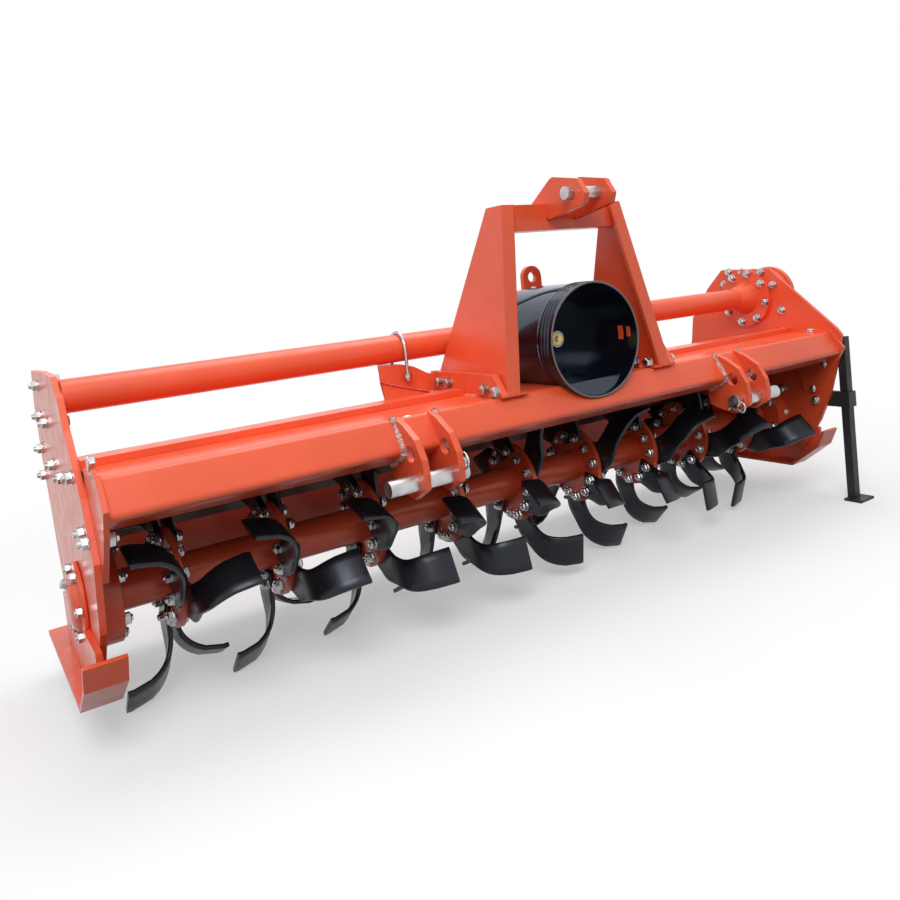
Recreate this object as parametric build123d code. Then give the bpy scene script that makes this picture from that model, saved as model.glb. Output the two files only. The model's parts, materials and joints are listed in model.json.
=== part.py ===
from build123d import *
import math
import os

# Rotavator on a three-point hitch, millimetres, +Z up.
# X runs across the working width, -Y points at the tractor, Z = 0 is the ground.
# The machine stands on its blade tips and its parking stand.
# Outlines are in the side view, measured from the rotor axis: rearward, then upward.

# ---- main sizes ----
plate_gap = 1746.0            # between the inner faces of the two side plates
plate_thickness = 10.0
machine_shift_x = -33.0       # middle of the side plates from the origin
rotor_axis_y = -20.0
blade_tip_radius = 216.0
rotor_axis_z = blade_tip_radius
hitch_offset_x = 43.0         # hitch centre from the middle of the side plates
running_gap = 0.05            # radial clearance of a shaft in its hole
body_gap = 0.4                # between close faces of separate bodies
cut_over = 1.0                # how far a cutting shape runs past the metal

# ---- rotor ----
flange_pitch = 182.5
flange_shift_x = -16.5        # middle flange from the middle of the side plates
flange_radius = 86.0
flange_thickness = 10.0
rotor_tube_radius = 34.0
rotor_tube_wall = 6.0
stub_radius = 25.0
stub_seat = 40.0
stub_end_room = 14.0
rotor_end_gap = 4.0
blades_per_side = 3
# One row a flange, left to right: where the leading corner of its first blade stands,
# in degrees from straight down towards the rear.
blade_table = (
    # left-hand, right-hand
    (5.0, 25.0),
    (7.0, 40.0),
    (11.0, 57.0),
    (25.0, 68.0),
    (28.0, 90.0),
    (42.0, 112.0),
    (52.0, 127.0),
    (75.0, 142.0),
    (100.0, 157.0),
)

# ---- tilling blades ----
blade_thickness = 8.0
blade_root_radius = 48.0
blade_shank_width = 61.0
blade_neck_radius = 108.0     # where the straight shank ends
blade_belly_radius = 142.0
blade_belly_in = 19.0         # leading edge, back from the shank's front at the belly
blade_shoulder_radius = 182.0
blade_shoulder_in = 36.0
blade_hollow_radius = 140.0
blade_hollow_out = 12.0       # trailing edge, back from the shank's rear at the hollow
blade_bend_turn = 52.0        # bend line from the direction of travel, degrees
blade_bend_radius = 70.0      # inside of the bend
blade_bend_steps = 3
blade_end_width = 67.0
blade_reach = 86.0

# ---- front beam: a square tube standing on its edge ----
beam_side = 50.0
beam_wall = 4.0
beam_y = -214.6
beam_z = 190.0
beam_end_thickness = 8.0
beam_end_points = ((-129, 233), (-230, 235), (-268, 189), (-241, 143), (-183, 71), (-143, 70), (-122, 160))

# ---- side plates ----
right_plate_points = (
    (107, 412), (-54, 406), (-245, 239), (-258, 222), (-252, 181), (-214, 62), (-180, -8),
    (-127, -86), (110, -85), (262, 10), (270, 110), (240, 206), (229, 274), (161, 362),
)
left_plate_points = (
    (345, 362), (170, 366), (40, 362), (-14, 330), (-45, 282), (-87, 242), (-140, 189), (-190, 102),
    (-161, -9), (-80, -105), (196, -116), (280, 15), (315, 105), (352, 195), (372, 290),
)

# ---- hood ----
hood_thickness = 4.0
hood_seat = 0.4               # how far the deck is let down over the beam's edge
hood_front_y = -225.0
hood_rail_y = -112.0
hood_rail_height = 12.0
hood_rail_depth = 37.0
hood_rear_angle = 8.0         # degrees above the axis where the hood ends

# ---- cross tube, gearbox, side drive ----
tube_radius = 28.2
tube_wall = 4.5
tube_y = 22.0
tube_z = 329.0
gearbox_width = 160.0
gearbox_front_y = -45.0
gearbox_rear_y = 92.0
gearbox_top_z = 419.0
gearbox_corner = 18.0
gearbox_flange_radius = 57.0
gearbox_flange_thickness = 13.0
input_socket = 50.0
eye_y = -20.0
eye_offset_x = 34.0
eye_half = 25.0
eye_height = 28.0
eye_thickness = 12.0
eye_hole_radius = 11.7
drive_flange_radius = 80.0
drive_flange_thickness = 12.0
drive_cone_radius = 45.0
drive_cone_length = 50.0
case_depth = 84.0
case_lower_radius = 80.0
case_upper_radius = 75.0
case_cover_depth = 14.0
case_cover_lip = 5.0
stub_socket = 60.0

# ---- guard and input shaft ----
guard_radius = 115.0
guard_sheet = 3.0
guard_front_y = -252.0
guard_shaft_gap = 9.0
guard_beam_gap = 1.0
input_z = 311.5
input_shaft_radius = 17.0
input_shaft_front_y = -130.0
input_boss_radius = 38.0
input_boss_length = 25.0

# ---- mast ----
leg_thickness = 8.0
leg_top_z = 590.0
leg_foot_z = 233.0
leg_top_half = 156.0          # half width over the webs at the top
leg_foot_half = 217.5
leg_flange_width = 30.0
leg_front_top_y = -189.0
leg_front_foot_y = -236.0
leg_top_depth = 52.0
leg_foot_depth = 262.0
crossbar_height = 52.0
crossbar_depth = 45.0
crossbar_wall = 5.0
lug_points = ((-138, 596), (-200, 636), (-210, 639), (-282, 625), (-302, 595), (-294, 575), (-189, 557))
lug_spacing = 70.0
lug_thickness = 12.0
top_pin_radius = 12.7
top_pin_y = -261.0
top_pin_z = 600.3
top_pin_end = 16.0
pin_head_length = 9.0
pin_head_grow = 5.0
base_thickness = 14.0         # side of the bracket, outside the leg's web
base_front_y = -239.0
base_rear_y = 14.0
base_top_z = 272.0
base_slope = 28.0
base_inboard = 48.0

# ---- lower hitch ----
lower_spread = 825.0
clevis_spacing = 67.0
clevis_thickness = 12.0
clevis_points = (
    (-180, 231), (-222, 233), (-254, 222), (-291, 200), (-310, 169), (-314, 144), (-312, 119),
    (-273, 98), (-230, 107), (-206, 114),
)
clevis_hole_radius = 14.3
clevis_upper_y = -273.0
clevis_upper_z = 174.7
clevis_pin_y = -285.3
clevis_pin_z = 128.5
lower_pin_radius = 14.0
lower_pin_length = 150.0
pin_clip_end = 18.0

# ---- side bearings and skids ----
bearing_radius = 80.0
bearing_depth = 38.0
bearing_cover_radius = 64.0
bearing_cover_depth = 22.0
skid_outboard = 32.0
skid_inboard = 28.0
skid_thickness = 7.0
skid_points = ((300, -138), (-96, -138), (-180, -78), (-201, -36))
skid_web_points = ((180, -134), (-98, -134), (-168, -84), (-168, -30), (180, -30))

# ---- trailing board ----
board_thickness = 4.0
board_hinge_y = 246.0
board_hinge_z = 48.0
board_hinge_radius = 7.0
board_eye_radius = 14.0
board_length = 162.0
board_lean = 13.0             # degrees from plumb, bottom edge to the rear
board_side_gap = 26.0         # keeps the board inside the skids
board_knuckles = 5
board_knuckle_length = 60.0

# ---- parking stand ----
stand_x_gap = 15.0
stand_y = -246.0
stand_tube = 22.0
stand_top_z = 214.0
stand_foot_front = 38.0
stand_foot_rear = 10.0
stand_foot_width = 60.0
stand_foot_thickness = 6.0
stand_sleeve_z = 30.0
stand_sleeve_height = 40.0
stand_sleeve_wall = 5.0
stand_bracket_reach = 62.0

os.makedirs("parts", exist_ok=True)

mid_x = machine_shift_x
hitch_x = machine_shift_x + hitch_offset_x
inner_left = mid_x - plate_gap / 2
inner_right = mid_x + plate_gap / 2
stub_hole = stub_radius + running_gap


def place(y, z):
    return rotor_axis_y + y, rotor_axis_z + z


def shifted(outline):
    return [place(y, z) for y, z in outline]


def plate_x(outline, x0, x1):
    face = make_face(Polyline(*outline, close=True))
    return extrude(Plane.YZ.offset(x0) * face, amount=x1 - x0)


def block(x0, x1, y0, y1, z0, z1):
    centre = Pos((x0 + x1) / 2, (y0 + y1) / 2, (z0 + z1) / 2)
    return centre * Box(x1 - x0, y1 - y0, z1 - z0)


def disc_x(x0, x1, y, z, radius):
    return extrude(Plane.YZ.offset(x0) * Pos(y, z) * Circle(radius), amount=x1 - x0)


def disc_y(y0, y1, x, z, radius):
    return extrude(Plane.XZ.offset(-y1) * Pos(x, z) * Circle(radius), amount=y1 - y0)


def bore_x(x0, x1, y, z, radius):
    return disc_x(x0 - cut_over, x1 + cut_over, y, z, radius)


def bore_y(y0, y1, x, z, radius):
    return disc_y(y0 - cut_over, y1 + cut_over, x, z, radius)


def ring_x(x0, x1, y, z, radius, inside):
    return disc_x(x0, x1, y, z, radius) - bore_x(x0, x1, y, z, inside)


def strip(points, thickness):
    # A strip of sheet: the given line and a parallel one, thickness above it.
    normals = []
    for (y0, z0), (y1, z1) in zip(points, points[1:]):
        length = math.hypot(y1 - y0, z1 - z0)
        normals.append(((z1 - z0) / length, (y0 - y1) / length))
    upper = []
    for index, (y, z) in enumerate(points):
        ny0, nz0 = normals[max(index - 1, 0)]
        ny1, nz1 = normals[min(index, len(normals) - 1)]
        share = thickness / (1 + ny0 * ny1 + nz0 * nz1)
        upper.append((y + (ny0 + ny1) * share, z + (nz0 + nz1) * share))
    return list(points) + upper[::-1]


def save(shape, name):
    export_step(shape, "parts/" + name + ".step")


# ---- side plates ----
plate_right_out = inner_right + plate_thickness
plate_left_out = inner_left - plate_thickness
side_plate_right = plate_x(shifted(right_plate_points), inner_right, plate_right_out)
side_plate_right -= bore_x(inner_right, plate_right_out, rotor_axis_y, rotor_axis_z, stub_hole)
save(side_plate_right, "side_plate_right")

side_plate_left = plate_x(shifted(left_plate_points), plate_left_out, inner_left)
side_plate_left -= bore_x(plate_left_out, inner_left, rotor_axis_y, rotor_axis_z, stub_hole)
save(side_plate_left, "side_plate_left")

# ---- front beam with its end plates ----
beam_ay, beam_az = place(beam_y, beam_z)


def diamond(side, x0, x1):
    half = side / math.sqrt(2)
    corners = [
        (beam_ay, beam_az + half), (beam_ay - half, beam_az),
        (beam_ay, beam_az - half), (beam_ay + half, beam_az),
    ]
    return plate_x(corners, x0, x1)


beam_end_left = inner_left + beam_end_thickness
beam_end_right = inner_right - beam_end_thickness
front_beam = diamond(beam_side, inner_left, inner_right)
front_beam -= diamond(beam_side - 2 * beam_wall, beam_end_left, beam_end_right)
front_beam += plate_x(shifted(beam_end_points), inner_left, beam_end_left)
front_beam += plate_x(shifted(beam_end_points), beam_end_right, inner_right)
save(front_beam, "front_beam")

# ---- hood: flat deck, then a sheet curved over the rotor ----
hood_outer = beam_z + beam_side / math.sqrt(2) + hood_thickness - hood_seat
hood_inner = hood_outer - hood_thickness
deck_y, deck_top = place(hood_front_y, hood_outer)
rear_turn = math.radians(hood_rear_angle)
half_turn = (math.pi / 2 + rear_turn) / 2


def on_circle(radius, angle):
    return place(radius * math.cos(angle), radius * math.sin(angle))


def hood_curve(radius):
    return ThreePointArc(place(0, radius), on_circle(radius, half_turn), on_circle(radius, rear_turn))


hood_profile = make_face(Curve() + [
    Line(place(hood_front_y, hood_inner), place(hood_front_y, hood_outer)),
    Line(place(hood_front_y, hood_outer), place(0, hood_outer)),
    hood_curve(hood_outer),
    Line(on_circle(hood_outer, rear_turn), on_circle(hood_inner, rear_turn)),
    hood_curve(hood_inner),
    Line(place(0, hood_inner), place(hood_front_y, hood_inner)),
])
hood = extrude(Plane.YZ.offset(inner_left) * hood_profile, amount=plate_gap)
hood -= diamond(beam_side, inner_left - cut_over, inner_right + cut_over)
hood -= plate_x(shifted(beam_end_points), inner_left - cut_over, beam_end_left)
hood -= plate_x(shifted(beam_end_points), beam_end_right, inner_right + cut_over)
save(hood, "hood")

rail_y, rail_z = place(hood_rail_y, hood_outer)
rail_back_y = rail_y + hood_rail_depth
rail_top_z = rail_z + hood_rail_height
rail_break = leg_foot_half + base_thickness + body_gap
hood_rail = Compound([
    block(inner_left, hitch_x - rail_break, rail_y, rail_back_y, rail_z, rail_top_z),
    block(hitch_x + rail_break, inner_right, rail_y, rail_back_y, rail_z, rail_top_z),
])
save(hood_rail, "hood_rail")

# ---- gearbox, its lifting eye, the cross tube and the drive tube ----
tube_ay, tube_az = place(tube_y, tube_z)
box_y0, box_z1 = place(gearbox_front_y, gearbox_top_z)
box_y1, input_az = place(gearbox_rear_y, input_z)
box_x0 = hitch_x - gearbox_width / 2
box_x1 = hitch_x + gearbox_width / 2
gearbox = block(box_x0, box_x1, box_y0, box_y1, deck_top, box_z1)
gearbox = fillet(gearbox.edges().filter_by(Axis.X).group_by(Axis.Z)[-1], gearbox_corner)
gear_x0 = box_x0 - gearbox_flange_thickness
gear_x1 = box_x1 + gearbox_flange_thickness
gearbox += disc_x(gear_x0, gear_x1, tube_ay, tube_az, gearbox_flange_radius)
boss_y = box_y0 - input_boss_length
gearbox += disc_y(boss_y, box_y0, hitch_x, input_az, input_boss_radius)
gearbox -= bore_y(boss_y, box_y0 + input_socket, hitch_x, input_az, input_shaft_radius + running_gap)
save(gearbox, "gearbox")

eye_y0 = rotor_axis_y + eye_y
eye_y1 = eye_y0 + eye_thickness
eye_x = hitch_x + eye_offset_x
eye_z = box_z1 + eye_height
lifting_eye = block(eye_x - eye_half, eye_x + eye_half, eye_y0, eye_y1, box_z1, eye_z)
lifting_eye += disc_y(eye_y0, eye_y1, eye_x, eye_z, eye_half)
lifting_eye -= bore_y(eye_y0, eye_y1, eye_x, eye_z, eye_hole_radius)
save(lifting_eye, "lifting_eye")

tube_bore = tube_radius - tube_wall
cross_tube = ring_x(inner_left, gear_x0, tube_ay, tube_az, tube_radius, tube_bore)
cross_tube += ring_x(
    gear_x0 - gearbox_flange_thickness, gear_x0, tube_ay, tube_az, gearbox_flange_radius, tube_bore,
)
save(cross_tube, "cross_tube")

drive_face = inner_right - drive_flange_thickness
drive_tube = ring_x(gear_x1, drive_face, tube_ay, tube_az, tube_radius, tube_bore)
drive_tube += ring_x(
    gear_x1, gear_x1 + gearbox_flange_thickness, tube_ay, tube_az, gearbox_flange_radius, tube_bore,
)
drive_tube += ring_x(drive_face, inner_right, tube_ay, tube_az, drive_flange_radius, tube_bore)
cone_middle = Plane(
    origin=(drive_face - drive_cone_length / 2, tube_ay, tube_az), x_dir=(0, 1, 0), z_dir=(1, 0, 0),
)
cone = cone_middle * Cone(tube_radius, drive_cone_radius, drive_cone_length)
drive_tube += cone - bore_x(drive_face - drive_cone_length, drive_face, tube_ay, tube_az, tube_bore)
save(drive_tube, "drive_tube")

# ---- side drive case on the outside of the right side plate ----
case_x0 = plate_right_out
case_x1 = case_x0 + case_depth


def case_outline(grow):
    upper = Pos(tube_ay, tube_az) * Circle(case_upper_radius + grow)
    lower = Pos(rotor_axis_y, rotor_axis_z) * Circle(case_lower_radius + grow)
    return make_hull((upper + lower).edges())


drive_case = extrude(Plane.YZ.offset(case_x0) * case_outline(0), amount=case_depth)
drive_case -= bore_x(case_x0, case_x0 + stub_socket - cut_over, rotor_axis_y, rotor_axis_z, stub_hole)
save(drive_case, "drive_case")
drive_cover = extrude(Plane.YZ.offset(case_x1) * case_outline(case_cover_lip), amount=case_cover_depth)
save(drive_cover, "drive_case_cover")

# ---- guard and input shaft ----
guard_y0 = rotor_axis_y + guard_front_y
guard_x0 = hitch_x - guard_radius
guard_x1 = hitch_x + guard_radius
guard = disc_y(guard_y0, boss_y, hitch_x, input_az, guard_radius)
guard -= disc_y(guard_y0 - cut_over, boss_y - guard_sheet, hitch_x, input_az, guard_radius - guard_sheet)
guard -= bore_y(boss_y - guard_sheet, boss_y, hitch_x, input_az, input_shaft_radius + guard_shaft_gap)
guard -= diamond(beam_side + 2 * guard_beam_gap, guard_x0, guard_x1)
guard -= block(
    guard_x0, guard_x1, deck_y - guard_beam_gap, boss_y + cut_over,
    rotor_axis_z, deck_top + guard_beam_gap,
)
guard -= block(guard_x0, guard_x1, guard_y0 - cut_over, deck_y, rotor_axis_z, beam_az)
save(guard, "pto_guard")

shaft_y0 = rotor_axis_y + input_shaft_front_y
shaft_y1 = box_y0 + input_socket - body_gap
save(disc_y(shaft_y0, shaft_y1, hitch_x, input_az, input_shaft_radius), "input_shaft")

# ---- mast: two leaning legs of folded plate, a crossbar and the top link lugs ----
lean = (leg_foot_half - leg_top_half) / (leg_top_z - leg_foot_z)
lean_length = math.hypot(1, lean)
mast_rise = leg_top_z - leg_foot_z
foot_y, foot_z = place(leg_front_foot_y, leg_foot_z)
top_y, top_z = place(leg_front_top_y, leg_top_z)


def leg(side):
    foot_x = hitch_x + side * leg_foot_half
    rise = mast_rise * lean_length
    out = (1 / lean_length, 0, side * lean / lean_length)
    tilt = Plane(origin=(foot_x, 0, foot_z), x_dir=(0, 1, 0), z_dir=out)
    web_points = [(foot_y, 0), (foot_y + leg_foot_depth, 0), (top_y + leg_top_depth, rise), (top_y, rise)]
    web = extrude(tilt * make_face(Polyline(*web_points, close=True)), amount=-side * leg_thickness)
    slope = math.hypot(top_y - foot_y, mast_rise)
    front = (0, -mast_rise / slope, (top_y - foot_y) / slope)
    face_plane = Plane(origin=(0, foot_y, foot_z), x_dir=(1, 0, 0), z_dir=front)
    foot_in = foot_x - side * leg_flange_width
    top_out = hitch_x + side * leg_top_half
    top_in = top_out - side * leg_flange_width
    flange_points = [(foot_x, 0), (foot_in, 0), (top_in, slope), (top_out, slope)]
    flange = extrude(face_plane * make_face(Polyline(*flange_points, close=True)), amount=-leg_thickness)
    below = block(
        foot_x - leg_foot_depth, foot_x + leg_foot_depth,
        foot_y - cut_over, foot_y + leg_foot_depth + cut_over, foot_z - leg_foot_depth, foot_z,
    )
    return web + flange - below


save(leg(-1), "mast_leg_left")
save(leg(1), "mast_leg_right")

bar_y0 = top_y + leg_thickness
bar_y1 = bar_y0 + crossbar_depth
bar_z0 = top_z - crossbar_height
bar_half = leg_top_half - leg_thickness - body_gap
bar_x0 = hitch_x - bar_half
bar_x1 = hitch_x + bar_half
crossbar = block(bar_x0, bar_x1, bar_y0, bar_y1, bar_z0, top_z)
crossbar -= block(
    bar_x0 - cut_over, bar_x1 + cut_over, bar_y0 + crossbar_wall, bar_y1 - crossbar_wall,
    bar_z0 + crossbar_wall, top_z - crossbar_wall,
)
save(crossbar, "mast_crossbar")

pin_ay, pin_az = place(top_pin_y, top_pin_z)
top_hole = top_pin_radius + running_gap
lugs = []
for side in (-1, 1):
    lug_x = hitch_x + side * lug_spacing / 2
    lug_x0 = lug_x - lug_thickness / 2
    lug_x1 = lug_x + lug_thickness / 2
    lug = plate_x(shifted(lug_points), lug_x0, lug_x1)
    lug -= bore_x(lug_x0, lug_x1, pin_ay, pin_az, top_hole)
    lug -= block(bar_x0, bar_x1, bar_y0, bar_y1, bar_z0, top_z)
    lugs.append(lug)
save(Compound(lugs), "top_link_lugs")

pin_out = lug_spacing / 2 + lug_thickness / 2
top_pin = disc_x(hitch_x - pin_out - top_pin_end, hitch_x + pin_out, pin_ay, pin_az, top_pin_radius)
head_x = hitch_x + pin_out
top_pin += disc_x(head_x, head_x + pin_head_length, pin_ay, pin_az, top_pin_radius + pin_head_grow)
save(top_pin, "top_link_pin")

# ---- brackets that carry the mast legs on the deck ----
base_y0, base_top = place(base_front_y, base_top_z)
base_y1 = rotor_axis_y + base_rear_y
base_points = [
    (base_y0, deck_top), (base_y1, deck_top), (base_y1, base_top),
    (base_y0 + base_slope, base_top), (base_y0, foot_z),
]
for side, name in ((-1, "mast_base_left"), (1, "mast_base_right")):
    web_x = hitch_x + side * leg_foot_half
    out_x = web_x + side * base_thickness
    in_x = web_x - side * base_inboard
    base = plate_x(base_points, min(web_x, out_x), max(web_x, out_x))
    base += block(min(in_x, out_x), max(in_x, out_x), base_y0, base_y1, deck_top, foot_z)
    save(base, name)

# ---- lower hitch clevises and their pins ----
upper_ay, upper_az = place(clevis_upper_y, clevis_upper_z)
low_ay, low_az = place(clevis_pin_y, clevis_pin_z)
deck_under = deck_top - hood_thickness
clevis_top = max(z for y, z in clevis_points) + rotor_axis_z + cut_over
for side, name in ((-1, "left"), (1, "right")):
    middle = hitch_x + side * lower_spread / 2
    cheeks = []
    for cheek_side in (-1, 1):
        cheek_x = middle + cheek_side * clevis_spacing / 2
        x0 = cheek_x - clevis_thickness / 2
        x1 = cheek_x + clevis_thickness / 2
        cheek = plate_x(shifted(clevis_points), x0, x1)
        cheek -= bore_x(x0, x1, upper_ay, upper_az, clevis_hole_radius)
        cheek -= bore_x(x0, x1, low_ay, low_az, lower_pin_radius + running_gap)
        cheek -= diamond(beam_side, x0 - cut_over, x1 + cut_over)
        cheek -= block(x0 - cut_over, x1 + cut_over, deck_y, rotor_axis_y, deck_under, clevis_top)
        cheek -= block(x0 - cut_over, x1 + cut_over, beam_ay, rotor_axis_y, beam_az, clevis_top)
        cheeks.append(cheek)
    save(Compound(cheeks), "clevis_" + name)
    inner_end = middle - side * (clevis_spacing / 2 + clevis_thickness / 2 + pin_clip_end)
    outer_end = inner_end + side * lower_pin_length
    pin = disc_x(min(inner_end, outer_end), max(inner_end, outer_end), low_ay, low_az, lower_pin_radius)
    save(pin, "lower_pin_" + name)

# ---- rotor bearings, covers and skids ----
for side, name in ((-1, "left"), (1, "right")):
    face_x = mid_x + side * plate_gap / 2
    housing_in = face_x - side * bearing_depth
    x0, x1 = sorted((face_x, housing_in))
    save(ring_x(x0, x1, rotor_axis_y, rotor_axis_z, bearing_radius, stub_hole), "bearing_" + name)
    skid_face = face_x + side * plate_thickness
    skid_in = skid_face - side * skid_inboard
    s0, s1 = sorted((skid_in, skid_face + side * skid_outboard))
    skid = plate_x(shifted(strip(skid_points, skid_thickness)), s0, s1)
    w0, w1 = sorted((skid_face, skid_face + side * plate_thickness))
    web = plate_x(shifted(skid_web_points), w0, w1)
    if side < 0:
        web -= bore_x(w0, w1, rotor_axis_y, rotor_axis_z, bearing_cover_radius + body_gap)
    else:
        web -= extrude(Plane.YZ.offset(w0) * case_outline(body_gap), amount=plate_thickness)
    save(skid + web, "skid_" + name)

cover_x0 = plate_left_out - bearing_cover_depth
bearing_cover = disc_x(cover_x0, plate_left_out, rotor_axis_y, rotor_axis_z, bearing_cover_radius)
bearing_cover -= disc_x(
    plate_left_out - stub_end_room, plate_left_out + cut_over, rotor_axis_y, rotor_axis_z, stub_hole,
)
save(bearing_cover, "bearing_cover")

# ---- rotor: tube with a row of flanges ----
tube_x0 = inner_left + bearing_depth + rotor_end_gap
tube_x1 = inner_right - bearing_depth - rotor_end_gap
stub_x0 = plate_left_out - stub_end_room + body_gap
stub_x1 = case_x0 + stub_socket - body_gap
rotor = disc_x(tube_x0, tube_x1, rotor_axis_y, rotor_axis_z, rotor_tube_radius)
rotor -= disc_x(
    tube_x0 + stub_seat, tube_x1 - stub_seat, rotor_axis_y, rotor_axis_z, rotor_tube_radius - rotor_tube_wall,
)
rotor += disc_x(stub_x0, tube_x0, rotor_axis_y, rotor_axis_z, stub_radius)
rotor += disc_x(tube_x1, stub_x1, rotor_axis_y, rotor_axis_z, stub_radius)
flange_rows = []
for index, (left_turn, right_turn) in enumerate(blade_table):
    flange_x = mid_x + flange_shift_x + (index - (len(blade_table) - 1) / 2) * flange_pitch
    x0 = flange_x - flange_thickness / 2
    x1 = flange_x + flange_thickness / 2
    rotor += ring_x(x0, x1, rotor_axis_y, rotor_axis_z, flange_radius, rotor_tube_radius)
    flange_rows.append((x0, x1, left_turn, right_turn))
save(rotor, "rotor_tube")

# ---- tilling blades: flat shanks bolted to the flanges, ends swept back and bent sideways ----
bend_line = math.radians(blade_bend_turn)
bend_outer = blade_bend_radius + blade_thickness


def blade_outline():
    # Side view of a blade that hangs down, its leading corner straight below the axis.
    tip = blade_tip_radius
    shank_front = blade_shank_width
    tail_y = -blade_end_width * math.cos(bend_line)
    tail_z = blade_end_width * math.sin(bend_line) - tip
    over_y = -cut_over * math.sin(bend_line)
    over_z = -cut_over * math.cos(bend_line)
    return [
        (0, -blade_root_radius), (shank_front, -blade_root_radius), (shank_front, -blade_neck_radius),
        (shank_front - blade_belly_in, -blade_belly_radius),
        (shank_front - blade_shoulder_in, -blade_shoulder_radius), (0, -tip),
        (over_y, over_z - tip), (tail_y + over_y, tail_z + over_z), (tail_y, tail_z),
        (-blade_hollow_out, -blade_hollow_radius), (0, -blade_neck_radius),
    ]


def blade_shape(hand):
    bend_start = blade_tip_radius * math.cos(bend_line) - bend_outer
    outer = []
    inner = []
    for step in range(blade_bend_steps + 1):
        turn = math.pi / 2 * step / blade_bend_steps
        across = math.cos(turn)
        along = math.sin(turn)
        outer.append((hand * bend_outer * (1 - across), bend_start + bend_outer * along))
        inner_x = bend_outer - blade_bend_radius * across
        inner.append((hand * inner_x, bend_start + blade_bend_radius * along))
    end_level = bend_start + bend_outer
    shank_end = -blade_tip_radius
    line = [(0, shank_end)] + outer + [(hand * blade_reach, end_level)]
    line += [(hand * blade_reach, end_level - blade_thickness)] + inner[::-1]
    line += [(hand * blade_thickness, shank_end)]
    section = Plane(
        origin=(0, 0, 0), x_dir=(1, 0, 0), z_dir=(0, math.cos(bend_line), -math.sin(bend_line)),
    )
    bent = extrude(section * make_face(Polyline(*line, close=True)), amount=2 * blade_tip_radius, both=True)
    x0, x1 = sorted((-hand * blade_reach, 2 * hand * blade_reach))
    return bent & plate_x(blade_outline(), x0, x1)


left_blade = blade_shape(-1)
right_blade = blade_shape(1)
left_blades = []
right_blades = []
for x0, x1, left_turn, right_turn in flange_rows:
    for spoke in range(blades_per_side):
        spoke_turn = spoke * 360 / blades_per_side
        left_place = Pos(x0, rotor_axis_y, rotor_axis_z) * Rot(left_turn + spoke_turn, 0, 0)
        right_place = Pos(x1, rotor_axis_y, rotor_axis_z) * Rot(right_turn + spoke_turn, 0, 0)
        left_blades.append(left_place * left_blade)
        right_blades.append(right_place * right_blade)
save(Compound(left_blades), "blades_left_hand")
save(Compound(right_blades), "blades_right_hand")

# ---- trailing board ----
hinge_ay, hinge_az = place(board_hinge_y, board_hinge_z)
board_x0 = inner_left + board_side_gap
board_x1 = inner_right - board_side_gap
save(disc_x(inner_left, inner_right, hinge_ay, hinge_az, board_hinge_radius), "board_hinge_rod")
lean_angle = math.radians(board_lean)


def board_point(along, across):
    return (
        hinge_ay + math.sin(lean_angle) * along + math.cos(lean_angle) * across,
        hinge_az - math.cos(lean_angle) * along + math.sin(lean_angle) * across,
    )


board_inside = board_eye_radius - board_thickness
board = plate_x([
    board_point(0, board_inside), board_point(0, board_eye_radius),
    board_point(board_length, board_eye_radius), board_point(board_length, board_inside),
], board_x0, board_x1)
knuckle_pitch = (board_x1 - board_x0 - board_knuckle_length) / (board_knuckles - 1)
for knuckle in range(board_knuckles):
    knuckle_x = board_x0 + knuckle_pitch * knuckle
    board += disc_x(knuckle_x, knuckle_x + board_knuckle_length, hinge_ay, hinge_az, board_eye_radius)
board -= bore_x(board_x0, board_x1, hinge_ay, hinge_az, board_hinge_radius + running_gap)
save(board, "trailing_board")

# ---- parking stand: a leg sliding in a sleeve on the right side plate ----
stand_ax = plate_right_out + stand_x_gap
stand_ay = rotor_axis_y + stand_y
half_leg = stand_tube / 2
leg_x0 = stand_ax - half_leg
leg_x1 = stand_ax + half_leg
leg_y0 = stand_ay - half_leg
leg_y1 = stand_ay + half_leg
stand_leg = block(leg_x0, leg_x1, leg_y0, leg_y1, stand_foot_thickness, rotor_axis_z + stand_top_z)
stand_leg += block(
    stand_ax - stand_foot_width / 2, stand_ax + stand_foot_width / 2,
    stand_ay - stand_foot_front, stand_ay + stand_foot_rear, 0, stand_foot_thickness,
)
save(stand_leg, "stand_leg")
room = half_leg + running_gap
wall = room + stand_sleeve_wall
sleeve_z0 = rotor_axis_z + stand_sleeve_z
sleeve_z1 = sleeve_z0 + stand_sleeve_height
sleeve = block(stand_ax - wall, stand_ax + wall, stand_ay - wall, stand_ay + wall, sleeve_z0, sleeve_z1)
sleeve += block(plate_right_out, stand_ax, leg_y1, stand_ay + stand_bracket_reach, sleeve_z0, sleeve_z1)
sleeve -= block(
    stand_ax - room, stand_ax + room, stand_ay - room, stand_ay + room,
    sleeve_z0 - cut_over, sleeve_z1 + cut_over,
)
save(sleeve, "stand_sleeve")
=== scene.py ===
import json
import math

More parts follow.
